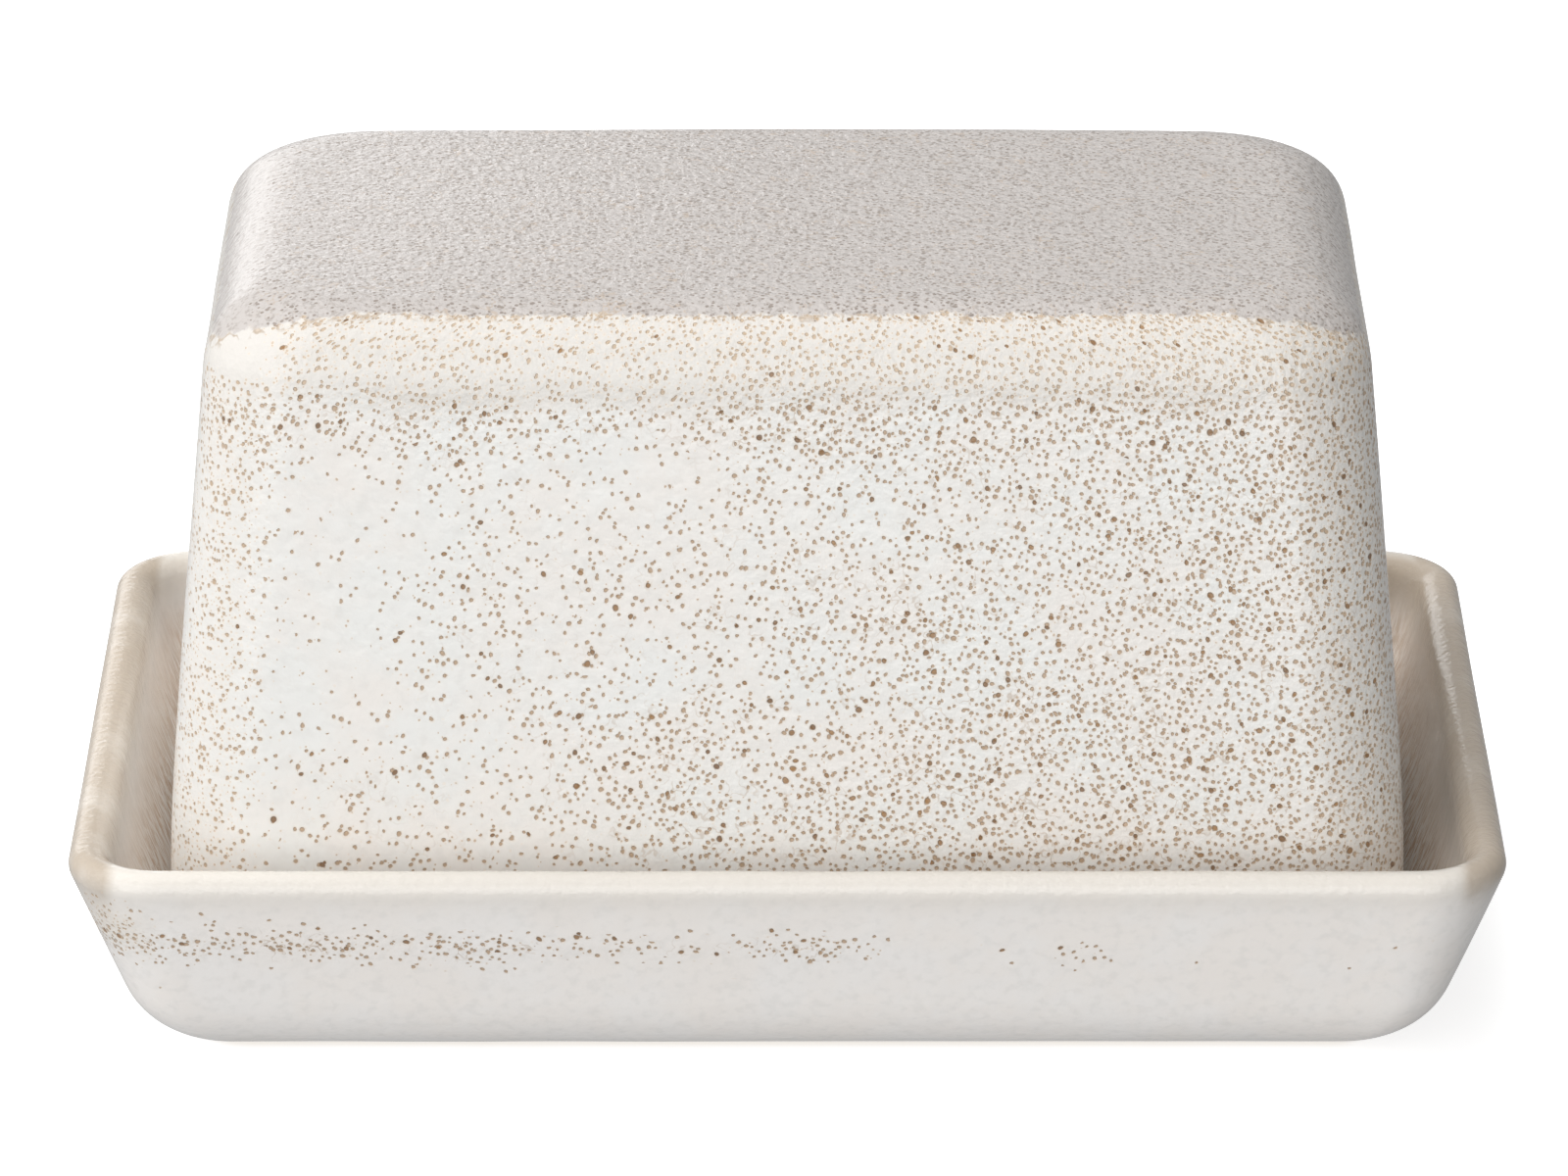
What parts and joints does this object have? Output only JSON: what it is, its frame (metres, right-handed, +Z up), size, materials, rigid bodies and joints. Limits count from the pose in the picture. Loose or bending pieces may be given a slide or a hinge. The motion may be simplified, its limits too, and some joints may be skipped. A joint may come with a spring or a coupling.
{
  "type": "covered butter dish",
  "caption": "Rectangular glazed stoneware butter dish: a flared shallow tray, and a tall box-shaped lid that stands inside it and lifts off.",
  "frame": {"origin": "under the middle of the tray, on the plane its foot stands on", "axes": "+X along the length, +Y across the width towards the back, +Z up"},
  "size_m": [0.17, 0.1122, 0.0922],
  "materials": {
    "tray_glaze": "glossy warm white reactive glaze with a cream rim, a band of brown pinholes on the walls, and a bare clay foot",
    "lid_glaze": "glossy off-white reactive glaze with brown pinholes, finer and denser where it breaks over the edges"
  },
  "bodies": {
    "tray": {"tray": "tray_glaze"},
    "lid": {"lid": "lid_glaze"}
  },
  "joints": [
    {"name": "lid_lift", "type": "slide", "parent": "tray", "child": "lid", "axis": [0, 0, 1], "range_m": [0, 0.12]}
  ]
}
